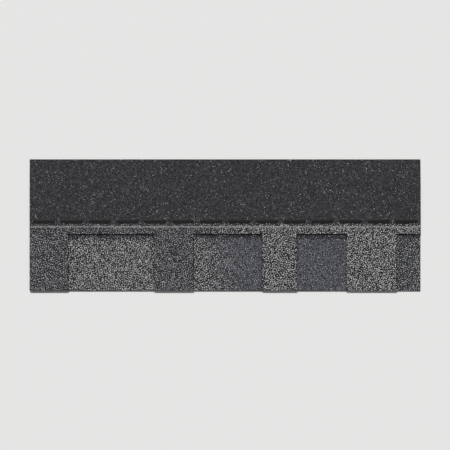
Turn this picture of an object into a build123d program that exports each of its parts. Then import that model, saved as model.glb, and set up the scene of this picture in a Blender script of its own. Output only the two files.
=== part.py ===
"""One laminated asphalt roofing shingle, lying face up on a level floor.

X runs along the shingle, Y up the roof slope from the butt edge to the head edge, and Z is up.
The origin is the centre of the box it fills, at floor level. All sizes are millimetres.
"""

import os

from build123d import *

# Overall sizes of the two sheets.
length = 1038.0
exposure = 149.2  # the height that stays in view once the next course is laid
cut_out_lap = 1.3  # the cut-outs end this far under the next course
bond_height = 45.5  # two sheets thick above the cut-outs, where the nails go
headlap_height = 153.0  # one sheet thick, up to the head edge
top_thickness = 2.7
backing_thickness = 2.7

# The teeth and cut-outs from the left end, in turn. Past the last pair the pattern starts again.
tooth_widths = [102.0, 105.0, 93.0, 134.0]
cut_out_widths = [228.0, 182.0, 131.0, 63.0]
die_radius = 1.5  # corners left by the rotary die

# Dashes of sealing asphalt on the face.
dash_length = 60.0
dash_gap = 14.0
dash_width = 12.0
dash_height = 0.9
dash_bevel = 0.5  # the softened upper edge
dash_inset = 6.0  # from the backing strip's upper edge to the dashes
dash_end_margin = 4.0  # the least bare length at each end of the shingle

# Release film, pressed flush into the back coating.
film_width = 28.0
film_thickness = 0.15
film_inset = 17.0  # from the backing strip's upper edge to the film

cut_out_height = exposure + cut_out_lap
backing_height = cut_out_height + bond_height
sheet_height = backing_height + headlap_height
left_end = -length / 2
right_end = length / 2
butt_edge = -sheet_height / 2
cut_out_top = butt_edge + cut_out_height
backing_edge = butt_edge + backing_height
head_edge = butt_edge + sheet_height
face_level = backing_thickness + top_thickness


def cut_out_spans():
    """The left and right edge of each cut-out along X, between the two ends."""
    spans = []
    place = 0
    tooth_end = left_end + tooth_widths[0]
    while tooth_end < right_end:
        cut_end = tooth_end + cut_out_widths[place % len(cut_out_widths)]
        spans.append((tooth_end, min(cut_end, right_end)))
        place += 1
        tooth_end = cut_end + tooth_widths[place % len(tooth_widths)]
    return spans


def comb_outline():
    """The top sheet seen from above: a plain sheet less its cut-outs, with die-cut corners."""
    with BuildSketch() as outline:
        Rectangle(length, sheet_height)
        for left, right in cut_out_spans():
            with Locations((left, butt_edge)):
                Rectangle(right - left, cut_out_height, align=(Align.MIN, Align.MIN), mode=Mode.SUBTRACT)
        die_corners = [
            corner
            for corner in outline.vertices()
            if left_end < corner.X < right_end and corner.Y < head_edge
        ]
        fillet(die_corners, die_radius)
    return outline.sketch


def drooped_section():
    """The top sheet seen from its end: flat on the backing, then down to the floor at the head edge.

    Past the backing strip the limp sheet is held up by nothing, so it sags in one long arc.
    """
    with BuildSketch(Plane.YZ) as section:
        with BuildLine():
            under_flat = Line((butt_edge, backing_thickness), (backing_edge, backing_thickness))
            under_sag = TangentArc(under_flat @ 1, (head_edge, 0), tangent=(1, 0))
            over_flat = Line((butt_edge, face_level), (backing_edge, face_level))
            over_sag = TangentArc(over_flat @ 1, (head_edge, top_thickness), tangent=(1, 0))
            Line(under_flat @ 0, over_flat @ 0)
            Line(under_sag @ 1, over_sag @ 1)
        make_face()
    return section.sketch


def make_top_sheet():
    sagging_sheet = extrude(drooped_section(), length / 2, both=True)
    teeth = extrude(comb_outline(), face_level)
    return sagging_sheet & teeth


def make_release_film():
    film_edge = backing_edge - film_inset
    with BuildPart() as film:
        with Locations((0, film_edge)):
            Box(length, film_width, film_thickness, align=(Align.CENTER, Align.MAX, Align.MIN))
    return film.part


def make_backing_strip(film):
    with BuildPart() as strip:
        with Locations((0, butt_edge)):
            Box(length, backing_height, backing_thickness, align=(Align.CENTER, Align.MIN, Align.MIN))
        add(film, mode=Mode.SUBTRACT)
    return strip.part


def make_seal_dashes():
    """Round-ended dashes in one row, spread evenly about the middle of the shingle."""
    pitch = dash_length + dash_gap
    count = int((length - 2 * dash_end_margin + dash_gap) // pitch)
    row_height = backing_edge - dash_inset - dash_width / 2
    with BuildPart() as dash:
        with BuildSketch():
            SlotOverall(dash_length, dash_width)
        extrude(amount=dash_height)
        chamfer(dash.edges().group_by(Axis.Z)[-1], dash_bevel)
    first = -pitch * (count - 1) / 2
    return [
        Pos(first + pitch * place, row_height, face_level) * dash.part
        for place in range(count)
    ]


release_film = make_release_film()
nodes = {
    "top_sheet": make_top_sheet(),
    "backing_strip": make_backing_strip(release_film),
    "release_film": release_film,
}
for number, dash in enumerate(make_seal_dashes(), start=1):
    nodes[f"seal_dash_{number:02d}"] = dash

os.makedirs("parts", exist_ok=True)
for name, solid in nodes.items():
    export_step(solid, f"parts/{name}.step")
    print(f"{name}: {solid.volume / 1000:.1f} cm3")
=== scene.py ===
import math

import bmesh
import bpy
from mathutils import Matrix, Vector, noise
from mathutils.bvhtree import BVHTree


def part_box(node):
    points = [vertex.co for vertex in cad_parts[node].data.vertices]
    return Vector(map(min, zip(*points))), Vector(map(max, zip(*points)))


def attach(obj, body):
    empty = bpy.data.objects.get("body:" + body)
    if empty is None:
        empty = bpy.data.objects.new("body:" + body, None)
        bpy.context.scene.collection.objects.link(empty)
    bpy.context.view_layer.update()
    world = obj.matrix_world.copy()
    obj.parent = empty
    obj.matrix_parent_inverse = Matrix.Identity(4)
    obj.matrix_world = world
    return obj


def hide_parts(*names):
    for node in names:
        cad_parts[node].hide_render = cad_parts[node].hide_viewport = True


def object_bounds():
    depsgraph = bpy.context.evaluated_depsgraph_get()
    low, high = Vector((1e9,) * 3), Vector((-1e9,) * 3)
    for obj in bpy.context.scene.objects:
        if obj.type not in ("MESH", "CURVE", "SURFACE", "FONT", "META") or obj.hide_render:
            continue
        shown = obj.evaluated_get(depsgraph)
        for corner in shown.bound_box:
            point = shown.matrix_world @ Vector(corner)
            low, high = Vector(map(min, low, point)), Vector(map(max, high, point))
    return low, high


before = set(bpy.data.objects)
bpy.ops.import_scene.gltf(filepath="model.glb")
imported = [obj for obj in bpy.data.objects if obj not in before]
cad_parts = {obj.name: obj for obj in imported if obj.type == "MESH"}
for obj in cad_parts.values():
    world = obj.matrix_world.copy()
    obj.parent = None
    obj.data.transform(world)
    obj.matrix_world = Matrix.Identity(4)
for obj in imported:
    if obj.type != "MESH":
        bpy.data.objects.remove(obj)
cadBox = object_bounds()
mm = 0.001
print("loaded", len(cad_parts), "pieces of the shingle")


# The camera looks straight down on the shingle, butt edge towards the bottom of the picture.
camera = {
    "pictureWidth": 450,  # pixels
    "shingleWidth": 391,  # pixels, as in the photograph
    "distance": 3.2,
    "sensor": 36.0,  # millimetres wide
    "farthest": 50,  # nothing beyond this is drawn
}

shingleLength = cadBox[1].x - cadBox[0].x


def makeCamera():
    seenWidth = shingleLength * camera["pictureWidth"] / camera["shingleWidth"]
    data = bpy.data.cameras.new("overheadCamera")
    data.sensor_width = camera["sensor"]
    data.lens = camera["sensor"] * camera["distance"] / seenWidth
    data.clip_end = camera["farthest"]
    overhead = bpy.data.objects.new("overheadCamera", data)
    overhead.location = (0, 0, camera["distance"] + cadBox[1].z)
    bpy.context.scene.collection.objects.link(overhead)
    bpy.context.scene.camera = overhead


makeCamera()


# One far soft lamp up the slope and a little to the left, in an even pale room.
studio = {
    "lampStrength": 4.0,
    "lampWidth": 7.0,  # degrees, as seen from the shingle
    "lampElevation": 38.0,  # degrees above the shingle
    "lampTurn": 16.0,  # degrees to the left of straight up the slope
    "room": (0.97, 0.98, 1.0),
    "roomStrength": 0.20,
    "floor": (0.80, 0.80, 0.79),
    "floorRoughness": 0.9,
    "floorSize": 160.0,
}


def makeLamp():
    elevation = math.radians(studio["lampElevation"])
    turn = math.radians(studio["lampTurn"])
    level = math.cos(elevation)
    towards = Vector((-math.sin(turn) * level, math.cos(turn) * level, math.sin(elevation)))
    lamp = bpy.data.lights.new("softLamp", "SUN")
    lamp.energy = studio["lampStrength"]
    lamp.angle = math.radians(studio["lampWidth"])
    softLamp = bpy.data.objects.new("softLamp", lamp)
    softLamp.location = towards
    softLamp.rotation_euler = towards.to_track_quat("Z", "Y").to_euler()
    bpy.context.scene.collection.objects.link(softLamp)


def makeRoom():
    world = bpy.data.worlds.new("paleRoom")
    world.use_nodes = True
    background = world.node_tree.nodes["Background"]
    background.inputs["Color"].default_value = (*studio["room"], 1)
    background.inputs["Strength"].default_value = studio["roomStrength"]
    bpy.context.scene.world = world


def makeFloor():
    half = studio["floorSize"] / 2
    mesh = bpy.data.meshes.new("paleFloor")
    corners = [(-half, -half, 0), (half, -half, 0), (half, half, 0), (-half, half, 0)]
    mesh.from_pydata(corners, [], [(0, 1, 2, 3)])
    floor = bpy.data.objects.new("paleFloor", mesh)
    bpy.context.scene.collection.objects.link(floor)
    paint = bpy.data.materials.new("paleFloor")
    paint.use_nodes = True
    shader = paint.node_tree.nodes["Principled BSDF"]
    shader.inputs["Base Color"].default_value = (*studio["floor"], 1)
    shader.inputs["Roughness"].default_value = studio["floorRoughness"]
    mesh.materials.append(paint)


makeLamp()
makeRoom()
makeFloor()
bpy.context.scene.view_settings.view_transform = "Standard"
print("camera, lamp, room and floor are in place")


# Short ways to make nodes, for materials and for Geometry Nodes alike.
def addNode(tree, kind, feeds=None, **settings):
    # A node with its settings, its plain inputs and its links made in one go.
    node = tree.nodes.new(kind)
    for name, value in settings.items():
        setattr(node, name, value)
    for socket, source in (feeds or {}).items():
        if isinstance(source, bpy.types.NodeSocket):
            tree.links.new(source, node.inputs[socket])
        else:
            node.inputs[socket].default_value = source
    return node


def mathNode(tree, operation, first, second=0.0):
    return addNode(tree, "ShaderNodeMath", {0: first, 1: second}, operation=operation).outputs[0]


def vectorMath(tree, operation, feeds, output=0):
    return addNode(tree, "ShaderNodeVectorMath", feeds, operation=operation).outputs[output]


def vectorFrom(tree, **axes):
    return addNode(tree, "ShaderNodeCombineXYZ", axes).outputs[0]


def axesOf(tree, vector):
    return addNode(tree, "ShaderNodeSeparateXYZ", {0: vector}).outputs


def mapped(tree, source, reach, onto=(0.0, 1.0)):
    # Stretches the part of the source's values that lies in reach over the other range.
    feeds = {0: source, 1: reach[0], 2: reach[1], 3: onto[0], 4: onto[1]}
    return addNode(tree, "ShaderNodeMapRange", feeds).outputs[0]


def centredCloud(tree, cloud):
    # From a noise's colour, about a half on each axis, to a vector about nought.
    return vectorMath(tree, "SUBTRACT", {0: cloud, 1: (0.5, 0.5, 0.5)})


def linear(shade):
    # From a colour as a screen shows it, 0 to 255, to the value that a shader takes.
    shares = [value / 255 for value in shade]
    return tuple(s / 12.92 if s <= 0.04045 else ((s + 0.055) / 1.055) ** 2.4 for s in shares)


def newMaterial(name, finish):
    material = bpy.data.materials.new(name)
    material.use_nodes = True
    shader = material.node_tree.nodes["Principled BSDF"]
    shader.inputs["Roughness"].default_value = finish["roughness"]
    shader.inputs["Specular IOR Level"].default_value = finish["shine"]
    return material, material.node_tree, shader


def toneMaterial(name, shade, finish):
    material, tree, shader = newMaterial(name, finish)
    shader.inputs["Base Color"].default_value = (*linear(shade), 1)
    return material


def toneRamp(tree, source, shades, passing="CONSTANT"):
    # The shades one after another, as the source goes from 0 to 1.
    ramp = addNode(tree, "ShaderNodeValToRGB", {0: source})
    ramp.color_ramp.interpolation = passing
    while len(ramp.color_ramp.elements) < len(shades):
        ramp.color_ramp.elements.new(0.5)
    for place, shade in enumerate(shades):
        ramp.color_ramp.elements[place].position = place / len(shades)
        ramp.color_ramp.elements[place].color = (*linear(shade), 1)
    return ramp.outputs["Color"]


def cells(tree, place, size):
    # Small cells all over: the distance to a cell's middle, and one random number for each cell.
    grain = addNode(tree, "ShaderNodeTexVoronoi", {"Vector": place, "Scale": 1 / size}, feature="F1")
    draw = addNode(tree, "ShaderNodeSeparateColor", {0: grain.outputs["Color"]}).outputs[0]
    return grain.outputs["Distance"], draw


def mixColours(tree, amount, first, second):
    # Either colour is a socket or a plain shade. On this node inputs 6 and 7 and output 2 are the colours.
    mix = addNode(tree, "ShaderNodeMix", {0: amount}, data_type="RGBA")
    for socket, source in ((6, first), (7, second)):
        if isinstance(source, bpy.types.NodeSocket):
            tree.links.new(source, mix.inputs[socket])
        else:
            mix.inputs[socket].default_value = (*linear(source), 1)
    return mix.outputs[2]


def addBump(tree, shader, height, depth):
    bump = addNode(tree, "ShaderNodeBump", {"Height": height, "Distance": depth})
    tree.links.new(bump.outputs[0], shader.inputs["Normal"])


def coat(node, material):
    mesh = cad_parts[node].data
    mesh.materials.clear()
    mesh.materials.append(material)


# The places of the teeth and cut-outs are read from the top sheet itself.
outline = {
    "near": 0.01 * mm,  # corners this close along an axis are level with each other
    "shortest": 20 * mm,  # the least length of a cut-out's top edge
    "belowBond": 1 * mm,  # how far under the bond's edge it lies at least
}

topLow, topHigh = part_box("top_sheet")
backLow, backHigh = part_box("backing_strip")
leftEnd, rightEnd = topLow.x, topHigh.x
buttEdge, headEdge = topLow.y, topHigh.y
bondEdge = backHigh.y  # the backing strip's upper edge


def readOutline():
    # The places along the shingle of the teeth's sides, and the level of the cut-outs' top edges.
    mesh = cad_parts["top_sheet"].data
    near, highest = outline["near"], bondEdge - outline["belowBond"]
    midTooth = (buttEdge + bondEdge) / 2
    walls, rows = set(), set()
    for edge in mesh.edges:
        a, b = (mesh.vertices[i].co for i in edge.vertices)
        if abs(a.x - b.x) < near and min(a.y, b.y) < midTooth < max(a.y, b.y):
            walls.add(round(a.x, 5))
        if abs(a.y - b.y) < near and abs(a.x - b.x) > outline["shortest"] and a.y < highest:
            rows.add(round(a.y, 5))
    return sorted(walls), max(rows)


walls, cutTop = readOutline()
teeth = list(zip(walls[0::2], walls[1::2]))
cutOuts = list(zip(walls[1::2], walls[2::2] + [rightEnd]))


def readHeights():
    # The top sheet's upper surface, as a function of the place up the slope, found from straight above.
    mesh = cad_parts["top_sheet"].data
    shape = BVHTree.FromPolygons([v.co for v in mesh.vertices], [p.vertices for p in mesh.polygons])
    firstTooth = sum(teeth[0]) / 2

    def height(y):
        return shape.ray_cast(Vector((firstTooth, y, 1)), Vector((0, 0, -1)))[0].z

    return height


faceHeight = readHeights()
print(len(teeth), "teeth and", len(cutOuts), "cut-outs found on the top sheet")


# The sheets themselves: granule fines on the face, black asphalt on the cut edges, sand on the back.
sheetFinish = {
    "roughness": 0.85,
    "shine": 0.25,
    "fineSize": 0.95 * mm,
    "fineTones": [(17, 17, 19), (27, 27, 29), (38, 39, 41), (56, 57, 60)],
    "sandSize": 0.55 * mm,
    "sandTones": [(34, 34, 35), (58, 57, 55), (96, 94, 90)],
    "bumpDepth": 0.45 * mm,
    "edgeTones": [(19, 19, 20), (29, 29, 29), (42, 41, 40), (58, 57, 55)],
    "matTone": (74, 70, 63),  # the glass-fibre mat in the middle of each sheet
    "matHalf": 0.3 * mm,
    "fibreScale": 900.0,
    "fibreDetail": 4.0,
    "fibreReach": (0.42, 0.72),  # the part of the noise that frays the mat's line
    "upright": 0.5,  # a normal that points further up is the face's, and further down the back's
}


def cutEdge(tree, place, underside, sag):
    # The mat is a line halfway up the black asphalt. Past the bond it goes down with the sheet.
    spot = axesOf(tree, place)
    run = mathNode(tree, "DIVIDE", mathNode(tree, "SUBTRACT", spot["Y"], bondEdge), headEdge - bondEdge)
    run = mathNode(tree, "MAXIMUM", run, 0.0)
    sunk = mathNode(tree, "MULTIPLY", mathNode(tree, "MULTIPLY", run, run), sag)
    depth = mathNode(tree, "ADD", mathNode(tree, "SUBTRACT", spot["Z"], underside), sunk)
    middle = (topHigh.z - backHigh.z) / 2
    offMiddle = mathNode(tree, "ABSOLUTE", mathNode(tree, "SUBTRACT", depth, middle))
    feeds = {"Vector": place, "Scale": sheetFinish["fibreScale"], "Detail": sheetFinish["fibreDetail"]}
    fibre = addNode(tree, "ShaderNodeTexNoise", feeds).outputs[0]
    frayed = mapped(tree, fibre, sheetFinish["fibreReach"], (0, sheetFinish["matHalf"]))
    isMat = mathNode(tree, "LESS_THAN", offMiddle, frayed)
    asphalt = toneRamp(tree, fibre, sheetFinish["edgeTones"])
    return mixColours(tree, isMat, asphalt, sheetFinish["matTone"])


def finishSheet(node, underside, sag):
    # underside is the level of the sheet's lower face, and sag is how far it comes down at the head edge.
    material, tree, shader = newMaterial(node + "Finish", sheetFinish)
    coordinate = addNode(tree, "ShaderNodeTexCoord")
    place = coordinate.outputs["Object"]
    facing = axesOf(tree, coordinate.outputs["Normal"])["Z"]
    isFace = mathNode(tree, "GREATER_THAN", facing, sheetFinish["upright"])
    isBack = mathNode(tree, "LESS_THAN", facing, -sheetFinish["upright"])
    distance, draw = cells(tree, place, sheetFinish["fineSize"])
    sandDistance, sandDraw = cells(tree, place, sheetFinish["sandSize"])
    fines = toneRamp(tree, draw, sheetFinish["fineTones"])
    sand = toneRamp(tree, sandDraw, sheetFinish["sandTones"])
    whole = mixColours(tree, isBack, cutEdge(tree, place, underside, sag), sand)
    whole = mixColours(tree, isFace, whole, fines)
    tree.links.new(whole, shader.inputs["Base Color"])
    feeds = {0: isBack, 2: distance, 3: sandDistance}
    relief = addNode(tree, "ShaderNodeMix", feeds, data_type="FLOAT").outputs[0]
    addBump(tree, shader, mathNode(tree, "MULTIPLY", relief, -1.0), sheetFinish["bumpDepth"])
    coat(node, material)


finishSheet("top_sheet", backHigh.z, backHigh.z)
finishSheet("backing_strip", 0, 0)


# The release film is clear and glossy, lies on dark asphalt and has fine creases. It is on the underside.
filmFinish = {
    "roughness": 0.24,
    "shine": 0.6,
    "tones": [(112, 115, 118), (132, 135, 138), (148, 151, 154), (182, 184, 187), (156, 158, 161)],
    "stretch": (0.22, 1.0, 1.0),  # the creases run along the strip
    "creaseScale": 170.0,
    "creaseDetail": 6.0,
    "creaseBend": 1.2,
    "creaseReach": (0.32, 0.68),  # the part of the noise's range that is used
    "creaseDepth": 0.6 * mm,
}


def finishFilm():
    material, tree, shader = newMaterial("releaseFilmFinish", filmFinish)
    place = addNode(tree, "ShaderNodeTexCoord").outputs["Object"]
    feeds = {"Vector": place, "Scale": filmFinish["stretch"]}
    stretched = addNode(tree, "ShaderNodeMapping", feeds).outputs[0]
    feeds = {"Vector": stretched, "Scale": filmFinish["creaseScale"]}
    feeds.update({"Detail": filmFinish["creaseDetail"], "Distortion": filmFinish["creaseBend"]})
    cloud = addNode(tree, "ShaderNodeTexNoise", feeds).outputs[0]
    crease = mapped(tree, cloud, filmFinish["creaseReach"])
    tree.links.new(toneRamp(tree, crease, filmFinish["tones"], "LINEAR"), shader.inputs["Base Color"])
    addBump(tree, shader, crease, filmFinish["creaseDepth"])
    coat("release_film", material)


finishFilm()
print("sheets and film have their finish")


# What both kinds of Geometry Nodes tree share.
def newTree(name, wholes, decimals, vectors=()):
    # An empty tree with named inputs, and their sockets, because a modifier's input is set by identifier.
    tree = bpy.data.node_groups.new(name, "GeometryNodeTree")
    outside = tree.interface
    outside.new_socket("Geometry", in_out="INPUT", socket_type="NodeSocketGeometry")
    outside.new_socket("Geometry", in_out="OUTPUT", socket_type="NodeSocketGeometry")
    sockets = {}
    groups = {"NodeSocketInt": wholes, "NodeSocketFloat": decimals, "NodeSocketVector": vectors}
    for kind, inputs in groups.items():
        for title in inputs:
            sockets[title] = outside.new_socket(title, in_out="INPUT", socket_type=kind)
    return tree, sockets, addNode(tree, "NodeGroupInput").outputs


def plainMesh(host, tree, sockets, sizes):
    # Runs the tree once and keeps the result as a plain mesh.
    bpy.context.scene.collection.objects.link(host)
    modifier = host.modifiers.new(tree.name, "NODES")
    modifier.node_group = tree
    for name, value in sizes.items():
        modifier[sockets[name].identifier] = value
    ready = bpy.context.evaluated_depsgraph_get()
    mesh = bpy.data.meshes.new_from_object(host.evaluated_get(ready), depsgraph=ready)
    host.modifiers.remove(modifier)
    bpy.data.objects.remove(host)
    return mesh


def addPiece(name, mesh):
    mesh.name = name
    piece = bpy.data.objects.new(name, mesh)
    bpy.context.scene.collection.objects.link(piece)
    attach(piece, "root")
    return piece


# The sealing dashes are poured beads of soft asphalt: one bead, repeated along the row by Geometry Nodes.
sealBead = {
    "endPoints": 12,  # round each end
    "sidePoints": 22,  # along each side
    "rings": 6,
    "doming": 2.6,  # more of it makes a flatter top with steeper sides
    "weld": 0.02 * mm,
    "sink": 0.05 * mm,  # into the face
    "waver": 0.9 * mm,  # how far a corner may wander
    "waverSize": 5 * mm,
    "waverDetail": 1.0,
    "waverUp": 0.25,  # how much of it is upright
    "tones": [(12, 12, 13), (19, 19, 20), (15, 15, 16)],
    "roughness": 0.59,
    "roughnessSwing": 0.09,
    "shine": 0.28,
    "cloudScale": 260.0,
    "cloudDetail": 3.0,
    "cloudReach": (0.3, 0.7),
    "bumpDepth": 0.35 * mm,
}


def makeSealFinish():
    material, tree, shader = newMaterial("sealAsphalt", sealBead)
    place = addNode(tree, "ShaderNodeTexCoord").outputs["Object"]
    feeds = {"Vector": place, "Scale": sealBead["cloudScale"], "Detail": sealBead["cloudDetail"]}
    cloud = addNode(tree, "ShaderNodeTexNoise", feeds).outputs[0]
    tree.links.new(toneRamp(tree, cloud, sealBead["tones"]), shader.inputs["Base Color"])
    middle, swing = sealBead["roughness"], sealBead["roughnessSwing"]
    rough = mapped(tree, cloud, sealBead["cloudReach"], (middle - swing, middle + swing))
    tree.links.new(rough, shader.inputs["Roughness"])
    addBump(tree, shader, cloud, sealBead["bumpDepth"])
    return material


def readDashes():
    names = sorted(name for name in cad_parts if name.startswith("seal_dash"))
    low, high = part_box(names[0])
    nextLow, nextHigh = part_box(names[1])
    return names, high - low, (low + high) / 2, low.z, nextLow.x - low.x


dashNames, dashSize, dashMiddle, dashLevel, dashPitch = readDashes()


def beadOutline(half):
    # Each point is a place on the bead's middle line and the direction from there to the rim.
    ends, sides = sealBead["endPoints"], sealBead["sidePoints"]
    points = []
    for sign in (1, -1):
        for step in range(ends):
            angle = math.pi * (step / ends - 0.5)
            points.append((sign * half, sign * math.cos(angle), sign * math.sin(angle)))
        for step in range(sides):
            points.append((sign * half * (1 - 2 * step / sides), 0, sign))
    return points


def makeBead(size):
    radius = size.y / 2
    rim = beadOutline(size.x / 2 - radius)
    build = bmesh.new()
    rows = []
    for ring in range(sealBead["rings"], -1, -1):
        share = ring / sealBead["rings"]
        rise = size.z * (1 - share ** sealBead["doming"]) ** 0.5
        reach = radius * share
        rows.append([build.verts.new((c + dx * reach, dy * reach, rise)) for c, dx, dy in rim])
    for outer, inner in zip(rows, rows[1:]):
        for place in range(len(rim)):
            after = (place + 1) % len(rim)
            build.faces.new((outer[place], outer[after], inner[after], inner[place]))
    build.faces.new(list(reversed(rows[0])))
    bmesh.ops.remove_doubles(build, verts=build.verts, dist=sealBead["weld"])
    bmesh.ops.recalc_face_normals(build, faces=build.faces)
    mesh = bpy.data.meshes.new("bead")
    build.to_mesh(mesh)
    build.free()
    return mesh


def sealTree(finish):
    tree, sockets, get = newTree("sealBeads", ["Count"], ["Pitch", "Waver", "Waver Size"], ["Start"])
    onward = vectorFrom(tree, X=get["Pitch"])
    feeds = {"Count": get["Count"], "Start Location": get["Start"], "Offset": onward}
    row = addNode(tree, "GeometryNodeMeshLine", feeds, mode="OFFSET").outputs[0]
    feeds = {"Points": row, "Instance": get["Geometry"]}
    beads = addNode(tree, "GeometryNodeInstanceOnPoints", feeds).outputs[0]
    solid = addNode(tree, "GeometryNodeRealizeInstances", {0: beads}).outputs[0]
    where = addNode(tree, "GeometryNodeInputPosition").outputs[0]
    fineness = mathNode(tree, "DIVIDE", 1.0, get["Waver Size"])
    feeds = {"Vector": where, "Scale": fineness, "Detail": sealBead["waverDetail"]}
    cloud = addNode(tree, "ShaderNodeTexNoise", feeds).outputs["Color"]
    scaled = vectorMath(tree, "SCALE", {0: centredCloud(tree, cloud), "Scale": get["Waver"]})
    flatter = vectorMath(tree, "MULTIPLY", {0: scaled, 1: (1, 1, sealBead["waverUp"])})
    moved = addNode(tree, "GeometryNodeSetPosition", {"Geometry": solid, "Offset": flatter}).outputs[0]
    smooth = addNode(tree, "GeometryNodeSetShadeSmooth", {0: moved}).outputs[0]
    painted = addNode(tree, "GeometryNodeSetMaterial", {"Geometry": smooth, "Material": finish}).outputs[0]
    addNode(tree, "NodeGroupOutput", {0: painted})
    return tree, sockets


def makeSealBeads():
    tree, sockets = sealTree(makeSealFinish())
    sizes = {
        "Count": len(dashNames),
        "Pitch": dashPitch,
        "Waver": sealBead["waver"],
        "Waver Size": sealBead["waverSize"],
        "Start": (dashMiddle.x, dashMiddle.y, dashLevel - sealBead["sink"]),
    }
    mesh = plainMesh(bpy.data.objects.new("beadHost", makeBead(dashSize)), tree, sockets, sizes)
    beads = addPiece("sealBeads", mesh)
    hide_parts(*dashNames)
    print("sealing beads:", len(dashNames))


makeSealBeads()


# Granules come in kinds, each a piece of its own, in several tones as a screen shows them.
granuleKinds = {
    "paleGranules": [(217, 217, 214), (197, 197, 194), (179, 179, 176), (227, 227, 224)],
    "greyGranules": [(140, 141, 150), (123, 124, 133), (154, 155, 162), (109, 110, 118)],
    "slateGranules": [(103, 104, 112), (86, 87, 95), (119, 120, 128), (67, 68, 75)],
    "charcoalGranules": [(47, 47, 50), (55, 55, 58), (42, 42, 45), (37, 37, 40)],
    "blackGranules": [(33, 33, 35), (22, 22, 23), (29, 29, 31), (25, 25, 26)],
    "headlapGranules": [(62, 62, 65), (52, 52, 54), (74, 74, 77), (42, 42, 44)],
    "headlapDarkGranules": [(36, 36, 38), (30, 30, 32), (46, 46, 48), (40, 40, 42)],
    "headlapPaleGranules": [(80, 80, 83), (90, 90, 92), (70, 71, 75), (98, 98, 99)],
}
kindNames = list(granuleKinds)

# The share of each kind in a blend, in the order of the kinds above.
blends = {
    "light": (0.34, 0.06, 0.06, 0.27, 0.27, 0, 0, 0),
    "speckled": (0.115, 0.115, 0.31, 0.23, 0.23, 0, 0, 0),
    "slate": (0.025, 0.105, 0.77, 0.055, 0.045, 0, 0, 0),
    # The shadow blend darkens the top of each cut-out: partly the darker shadow-line granules such
    # shingles have, partly painted shade like the one the course laid above would cast.
    "shadow": (0.01, 0.03, 0.22, 0.34, 0.40, 0, 0, 0),
    "headlap": (0.005, 0.015, 0.02, 0, 0, 0.40, 0.32, 0.24),
}

# Where each blend starts along a sheet, from the left end, and how the runs meet.
colourDrops = {
    "topSheet": [(0, "speckled"), (545 * mm, "light")],
    "backing": [(0, "light"), (482 * mm, "slate"), (915 * mm, "speckled")],
    "backingSlant": 0.15,  # the backing's runs reach further along at the butt edge
    "softness": 150 * mm,
    "raggedness": 30 * mm,
    "raggedSize": 30 * mm,
    "raggedFineSize": 9 * mm,
    "raggedFineness": 0.6,  # how much the finer wavers count
    "headlapStart": 25 * mm,  # above the cut-outs
    "headlapSoftness": 9 * mm,
    "headlapWaver": 5 * mm,
    "headlapWaverSize": 12 * mm,
    # The shadow band with its softness and waver: darker grains under each cut-out's top edge, partly the
    # shingle's shadow line, partly painted shade.
    "shadowBand": 12.5 * mm,  # the dark band under each cut-out's top edge
    "shadowSoftness": 10 * mm,
    "shadowWaver": 3 * mm,
    "shadowWaverSize": 8 * mm,
    "clumpSize": 14 * mm,
    "clumping": 0.05,  # how much more or less of the palest kind a clump has
    "seeds": {"topSheet": 3.3, "backing": 5.7, "headlap": 7.1, "shadow": 9.9, "clump": 1.5},
}


def mixed(first, second, amount):
    return [a + (b - a) * amount for a, b in zip(first, second)]


def eased(value, start, width):
    # Rises smoothly from 0 to 1 over the width, and is halfway at the start.
    t = min(max((value - start) / width + 0.5, 0), 1)
    return t * t * (3 - 2 * t)


def waver(x, y, size, name):
    # Rises and falls about nought over the sheet, by up to about one.
    return noise.noise(Vector((x / size, y / size, colourDrops["seeds"][name])))


def sheetBlend(name, along, x, y):
    runs = colourDrops[name]
    coarse = waver(0, y, colourDrops["raggedSize"], name)
    fine = colourDrops["raggedFineness"] * waver(x, y, colourDrops["raggedFineSize"], name)
    ragged = colourDrops["raggedness"] * (coarse + fine)
    shares = list(blends[runs[0][1]])
    for start, blend in runs[1:]:
        shares = mixed(shares, blends[blend], eased(along + ragged, start, colourDrops["softness"]))
    return shares


def blendAt(layer, x, y):
    along = x - leftEnd
    if layer == "topSheet":
        shares = sheetBlend(layer, along, x, y)
        swing = colourDrops["headlapWaver"] * waver(x, y, colourDrops["headlapWaverSize"], "headlap")
        edge = cutTop + colourDrops["headlapStart"] + swing
        shares = mixed(shares, blends["headlap"], eased(y, edge, colourDrops["headlapSoftness"]))
    else:
        slanted = along - colourDrops["backingSlant"] * (cutTop - y)
        shares = sheetBlend(layer, slanted, x, y)
        # Under each cut-out's top edge the grains turn darker: partly the shadow-line band, partly painted
        # shade like that of the course laid above.
        swing = colourDrops["shadowWaver"] * waver(x, y, colourDrops["shadowWaverSize"], "shadow")
        depth = cutTop - y + swing
        band, softness = colourDrops["shadowBand"], colourDrops["shadowSoftness"]
        shares = mixed(blends["shadow"], shares, eased(depth, band, softness))
    clump = 1 + colourDrops["clumping"] * waver(x, y, colourDrops["clumpSize"], "clump")
    shares = [shares[0] * clump, *shares[1:]]
    total = sum(shares)
    return [share / total for share in shares]


# The bed is the surface that takes granules, and is thrown away once they are made.
bed = {
    "step": 5 * mm,
    # On the backing beside the teeth's walls the bare dark strip is partly painted shade in the corner,
    # and partly room that keeps the grains out of the walls.
    "margin": 1.0 * mm,  # bare along every cut edge
    # The wider bare dark strip on the backing beside each tooth's right wall is painted shade: real grains
    # lie there in the tooth's shadow.
    "paintedShadeMargin": 1.3 * mm,  # bare beside the edge that the lamp leaves in shade
}


def steps(low, high):
    # Even steps from low to high, none longer than the bed's.
    count = max(1, math.ceil((high - low) / bed["step"]))
    return [low + (high - low) * i / count for i in range(count + 1)]


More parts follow.
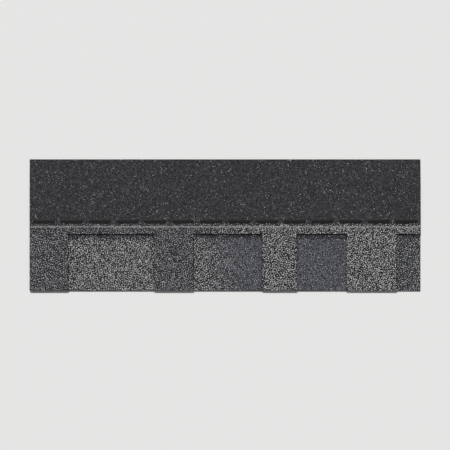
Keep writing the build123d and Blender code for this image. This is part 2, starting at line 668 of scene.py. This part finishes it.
def bedPatches():
    margin = bed["margin"]
    patches = [("topSheet", leftEnd + margin, rightEnd - margin, cutTop + margin, headEdge - margin)]
    for left, right in teeth:
        patches.append(("topSheet", left + margin, right - margin, buttEdge + margin, cutTop + margin))
    # On the backing the bare strips beside the teeth's walls are painted shade, widest beside the wall
    # that the lamp leaves in shade.
    for left, right in cutOuts:
        shaded = left + bed["paintedShadeMargin"]
        patches.append(("backing", shaded, right - margin, buttEdge + margin, cutTop - margin / 2))
    return patches


def makeBed():
    corners, faces, shares = [], [], []
    for layer, left, right, low, high in bedPatches():
        xs, ys = steps(left, right), steps(low, high)
        first = len(corners)
        for y in ys:
            z = faceHeight(y) if layer == "topSheet" else backHigh.z
            for x in xs:
                corners.append((x, y, z))
                shares.append(blendAt(layer, x, y))
        wide = len(xs)
        for row in range(len(ys) - 1):
            for column in range(wide - 1):
                a = first + row * wide + column
                faces.append((a, a + 1, a + 1 + wide, a + wide))
    mesh = bpy.data.meshes.new("granuleBed")
    mesh.from_pydata(corners, [], faces)
    reached = [0.0] * len(corners)
    for place, kind in enumerate(kindNames):
        # A grain is of this kind when its draw lies between the kind before's limit and this one.
        reached = [r + share[place] for r, share in zip(reached, shares)]
        limit = mesh.attributes.new(kind, "FLOAT", "POINT")
        limit.data.foreach_set("value", reached)
    return mesh


granuleBed = makeBed()
print("granule bed:", len(granuleBed.polygons), "faces")


# Crushed mineral grains, eight faces each, half sunk in the asphalt.
granule = {
    "spacing": 1.32 * mm,  # least distance between two
    "density": 2.2e6,  # tries for each square metre before the spacing thins them
    "sides": 4,
    "rings": 2,
    "radius": 1.2 * mm,
    "smallest": 0.72,
    "largest": 1.28,
    "narrowest": 0.78,  # width for length
    "flatness": 0.55,
    "tilt": 0.45,  # radians
    "roughening": 0.72 * mm,  # each corner's moves, from end to end
    "roughScale": 8000.0,  # draws the white noise apart, so that corners side by side differ
    "lift": 0.02 * mm,
    "dashOverlap": 0.5 * mm,  # how far grains reach in under a bead's rim
    "roughness": 0.62,
    "shine": 0.35,
    "seed": 11,
}

# The seed of each random number that a grain draws.
drawSeeds = {"kind": 5, "turn": 6, "size": 7, "tone": 8, "keepsTo": 9, "width": 10}

# The kinds that a blend lists first, the palest of a colour run, gather in small clusters.
# The clusters lie evenly but in no rows.
cluster = {
    "spacing": 4.2 * mm,  # least distance between the middles of two
    "density": 2.6e6,  # tries for each square metre before the spacing thins them
    "share": 0.95,  # of the grains, those that keep to the clusters
    "power": 2.7,  # with the factor, how the distances to the nearest middle are spread
    "factor": 4.8,
}

# The nail line is paint on the tops of the grains, uneven along both its edges.
nailLine = {
    "height": 19 * mm,  # above the cut-outs
    "width": 3.4 * mm,
    "waver": 1.6 * mm,
    "waverSize": 1.5 * mm,
    "paint": (172, 173, 169),
    "roughness": 0.7,
    "shine": 0.3,
}

nailPaint = toneMaterial("nailLinePaint", nailLine["paint"], nailLine)


def treeSizes():
    # The named inputs of each kind's tree, with their values.
    middle = cutTop + nailLine["height"]
    return {
        "Spacing": granule["spacing"],
        "Density": granule["density"],
        "Radius": granule["radius"],
        "Smallest": granule["smallest"],
        "Largest": granule["largest"],
        "Narrowest": granule["narrowest"],
        "Flatness": granule["flatness"],
        "Tilt": granule["tilt"],
        "Roughening": granule["roughening"],
        "Rough Scale": granule["roughScale"],
        "Lift": granule["lift"],
        "Cluster Length": topHigh.x - topLow.x,
        "Cluster Height": topHigh.y - topLow.y,
        "Cluster Spacing": cluster["spacing"],
        "Cluster Density": cluster["density"],
        "Cluster Share": cluster["share"],
        "Paint Low": middle - nailLine["width"] / 2,
        "Paint High": middle + nailLine["width"] / 2,
        "Paint Waver": nailLine["waver"],
        "Paint Waver Size": nailLine["waverSize"],
        "Dash X": dashMiddle.x,
        "Dash Y": dashMiddle.y,
        "Dash Pitch": dashPitch,
        "Dash Straight": (dashSize.x - dashSize.y) / 2,
        "Dash Radius": dashSize.y / 2 - granule["dashOverlap"],
    }


def compare(tree, operation, first, second):
    return addNode(tree, "FunctionNodeCompare", {"A": first, "B": second}, operation=operation).outputs[0]


def drawn(tree, name, low=0.0, high=1.0, **more):
    # A random number for each point, or for each ID that is given.
    feeds = {2: low, 3: high, "Seed": drawSeeds[name], **more}
    return addNode(tree, "FunctionNodeRandomValue", feeds, data_type="FLOAT").outputs[1]


def scatter(tree, surface, spacing, density, seed):
    feeds = {"Mesh": surface, "Distance Min": spacing, "Density Max": density, "Seed": seed}
    node = addNode(tree, "GeometryNodeDistributePointsOnFaces", feeds, distribute_method="POISSON")
    return node.outputs["Points"]


def parted(tree, points, chosen):
    feeds = {"Geometry": points, "Selection": chosen}
    return addNode(tree, "GeometryNodeSeparateGeometry", feeds, domain="POINT").outputs


def underBead(tree, spot, get):
    # True inside the outline of a sealing dash. The dashes are alike and evenly spaced along one row.
    at = axesOf(tree, spot)
    along = mathNode(tree, "SUBTRACT", at["X"], get["Dash X"])
    halfPitch = mathNode(tree, "DIVIDE", get["Dash Pitch"], 2.0)
    feeds = {0: along, 1: halfPitch, 2: mathNode(tree, "MULTIPLY", halfPitch, -1.0)}
    along = addNode(tree, "ShaderNodeMath", feeds, operation="WRAP").outputs[0]
    beyond = mathNode(tree, "SUBTRACT", mathNode(tree, "ABSOLUTE", along), get["Dash Straight"])
    beyond = mathNode(tree, "MAXIMUM", beyond, 0.0)
    across = mathNode(tree, "SUBTRACT", at["Y"], get["Dash Y"])
    away = vectorMath(tree, "LENGTH", {0: vectorFrom(tree, X=beyond, Y=across)}, "Value")
    return mathNode(tree, "LESS_THAN", away, get["Dash Radius"])


def grainPoints(tree, spot, get):
    points = scatter(tree, get["Geometry"], get["Spacing"], get["Density"], get["Seed"])
    return parted(tree, points, underBead(tree, spot, get))["Inverted"]


def clusterDraw(tree, spot, get):
    # Low near a cluster's middle, and from 0 to 1 as evenly as a plain draw. The middles are scattered
    # over one flat face as large as the sheet, because the bed's many faces would put them in rows.
    feeds = {"Size X": get["Cluster Length"], "Size Y": get["Cluster Height"]}
    feeds.update({"Vertices X": 2, "Vertices Y": 2})
    flat = addNode(tree, "GeometryNodeMeshGrid", feeds).outputs["Mesh"]
    middles = scatter(tree, flat, get["Cluster Spacing"], get["Cluster Density"], get["Seed"])
    seenFromAbove = vectorMath(tree, "MULTIPLY", {0: spot, 1: (1, 1, 0)})
    feeds = {"Geometry": middles, "Sample Position": seenFromAbove}
    away = addNode(tree, "GeometryNodeProximity", feeds, target_element="POINTS").outputs["Distance"]
    away = mathNode(tree, "DIVIDE", away, get["Cluster Spacing"])
    spread = mathNode(tree, "POWER", away, cluster["power"])
    spread = mathNode(tree, "EXPONENT", mathNode(tree, "MULTIPLY", spread, -cluster["factor"]))
    return mathNode(tree, "SUBTRACT", 1.0, spread)


def kindDraw(tree, spot, get):
    # One draw from 0 to 1 for each point, the same in every kind's tree.
    keepsTo = compare(tree, "LESS_THAN", drawn(tree, "keepsTo"), get["Cluster Share"])
    feeds = {"Switch": keepsTo, "False": drawn(tree, "kind"), "True": clusterDraw(tree, spot, get)}
    return addNode(tree, "GeometryNodeSwitch", feeds, input_type="FLOAT").outputs[0]


def ofKind(tree, kind, draw):
    # A point is of this kind when its draw lies between the limits that the bed carries.
    def limit(name):
        node = addNode(tree, "GeometryNodeInputNamedAttribute", {"Name": name}, data_type="FLOAT")
        return node.outputs[0]

    chosen = compare(tree, "LESS_EQUAL", draw, limit(kind))
    place = kindNames.index(kind)
    if place:
        above = compare(tree, "GREATER_THAN", draw, limit(kindNames[place - 1]))
        feeds = {0: chosen, 1: above}
        chosen = addNode(tree, "FunctionNodeBooleanMath", feeds, operation="AND").outputs[0]
    return chosen


def placeGrains(tree, points, get):
    # The grain starts as a sphere of so few sides and rings that it has eight faces.
    feeds = {"Segments": granule["sides"], "Rings": granule["rings"], "Radius": get["Radius"]}
    stone = addNode(tree, "GeometryNodeMeshUVSphere", feeds).outputs["Mesh"]
    backTilt = mathNode(tree, "MULTIPLY", get["Tilt"], -1.0)
    least = vectorFrom(tree, X=backTilt, Y=backTilt)
    most = vectorFrom(tree, X=get["Tilt"], Y=get["Tilt"], Z=math.tau)
    feeds = {0: least, 1: most, "Seed": drawSeeds["turn"]}
    turn = addNode(tree, "FunctionNodeRandomValue", feeds, data_type="FLOAT_VECTOR").outputs[0]
    turned = addNode(tree, "FunctionNodeEulerToRotation", {"Euler": turn}).outputs[0]
    size = drawn(tree, "size", get["Smallest"], get["Largest"])
    width = mathNode(tree, "MULTIPLY", size, drawn(tree, "width", get["Narrowest"]))
    height = mathNode(tree, "MULTIPLY", size, get["Flatness"])
    scale = vectorFrom(tree, X=size, Y=width, Z=height)
    feeds = {"Points": points, "Instance": stone, "Rotation": turned, "Scale": scale}
    grains = addNode(tree, "GeometryNodeInstanceOnPoints", feeds).outputs[0]
    return addNode(tree, "GeometryNodeRealizeInstances", {0: grains}).outputs[0]


def roughen(tree, grains, where, get):
    # Each corner is moved by its own random amount, so that no two grains are alike.
    apart = vectorMath(tree, "SCALE", {0: where, "Scale": get["Rough Scale"]})
    white = addNode(tree, "ShaderNodeTexWhiteNoise", {"Vector": apart}, noise_dimensions="3D")
    centred = centredCloud(tree, white.outputs["Color"])
    moved = vectorMath(tree, "SCALE", {0: centred, "Scale": get["Roughening"]})
    offset = vectorMath(tree, "ADD", {0: moved, 1: vectorFrom(tree, Z=get["Lift"])})
    return addNode(tree, "GeometryNodeSetPosition", {"Geometry": grains, "Offset": offset}).outputs[0]


def isPainted(tree, where, get):
    fineness = mathNode(tree, "DIVIDE", 1.0, get["Paint Waver Size"])
    cloud = addNode(tree, "ShaderNodeTexNoise", {"Vector": where, "Scale": fineness}).outputs[0]
    swing = mathNode(tree, "MULTIPLY", mathNode(tree, "SUBTRACT", cloud, 0.5), get["Paint Waver"])
    up = mathNode(tree, "ADD", axesOf(tree, where)["Y"], swing)
    above = mathNode(tree, "GREATER_THAN", up, get["Paint Low"])
    return mathNode(tree, "MULTIPLY", above, mathNode(tree, "LESS_THAN", up, get["Paint High"]))


def colourGrains(tree, grains, where, tones, get):
    # Each grain has one of its kind's tones, and the nail line's paint goes over them.
    island = addNode(tree, "GeometryNodeInputMeshIsland").outputs["Island Index"]
    tone = drawn(tree, "tone", ID=island)
    coats = [(True, tones[0])]
    for place, material in enumerate(tones[1:], start=1):
        coats.append((mathNode(tree, "GREATER_THAN", tone, place / len(tones)), material))
    coats.append((isPainted(tree, where, get), nailPaint))
    for wanted, material in coats:
        feeds = {"Geometry": grains, "Selection": wanted, "Material": material}
        grains = addNode(tree, "GeometryNodeSetMaterial", feeds).outputs[0]
    return grains


def granuleTree(kind, tones, sizes):
    tree, sockets, get = newTree(kind, ["Seed"], list(sizes))
    where = addNode(tree, "GeometryNodeInputPosition").outputs[0]
    points = grainPoints(tree, where, get)
    kept = parted(tree, points, ofKind(tree, kind, kindDraw(tree, where, get)))["Selection"]
    grains = roughen(tree, placeGrains(tree, kept, get), where, get)
    addNode(tree, "NodeGroupOutput", {0: colourGrains(tree, grains, where, tones, get)})
    return tree, sockets


def makeGranules(kind, shades):
    tones = [toneMaterial(f"{kind}{place}", shade, granule) for place, shade in enumerate(shades, start=1)]
    sizes = treeSizes()
    tree, sockets = granuleTree(kind, tones, sizes)
    host = bpy.data.objects.new(kind + "Host", granuleBed)
    mesh = plainMesh(host, tree, sockets, {**sizes, "Seed": granule["seed"]})
    for name in kindNames:  # the bed's limits, which the grains don't need
        if name in mesh.attributes:
            mesh.attributes.remove(mesh.attributes[name])
    addPiece(kind, mesh)
    print(kind + ":", len(mesh.polygons) // (granule["sides"] * granule["rings"]), "grains")


for kind, shades in granuleKinds.items():
    makeGranules(kind, shades)
bpy.data.meshes.remove(granuleBed)
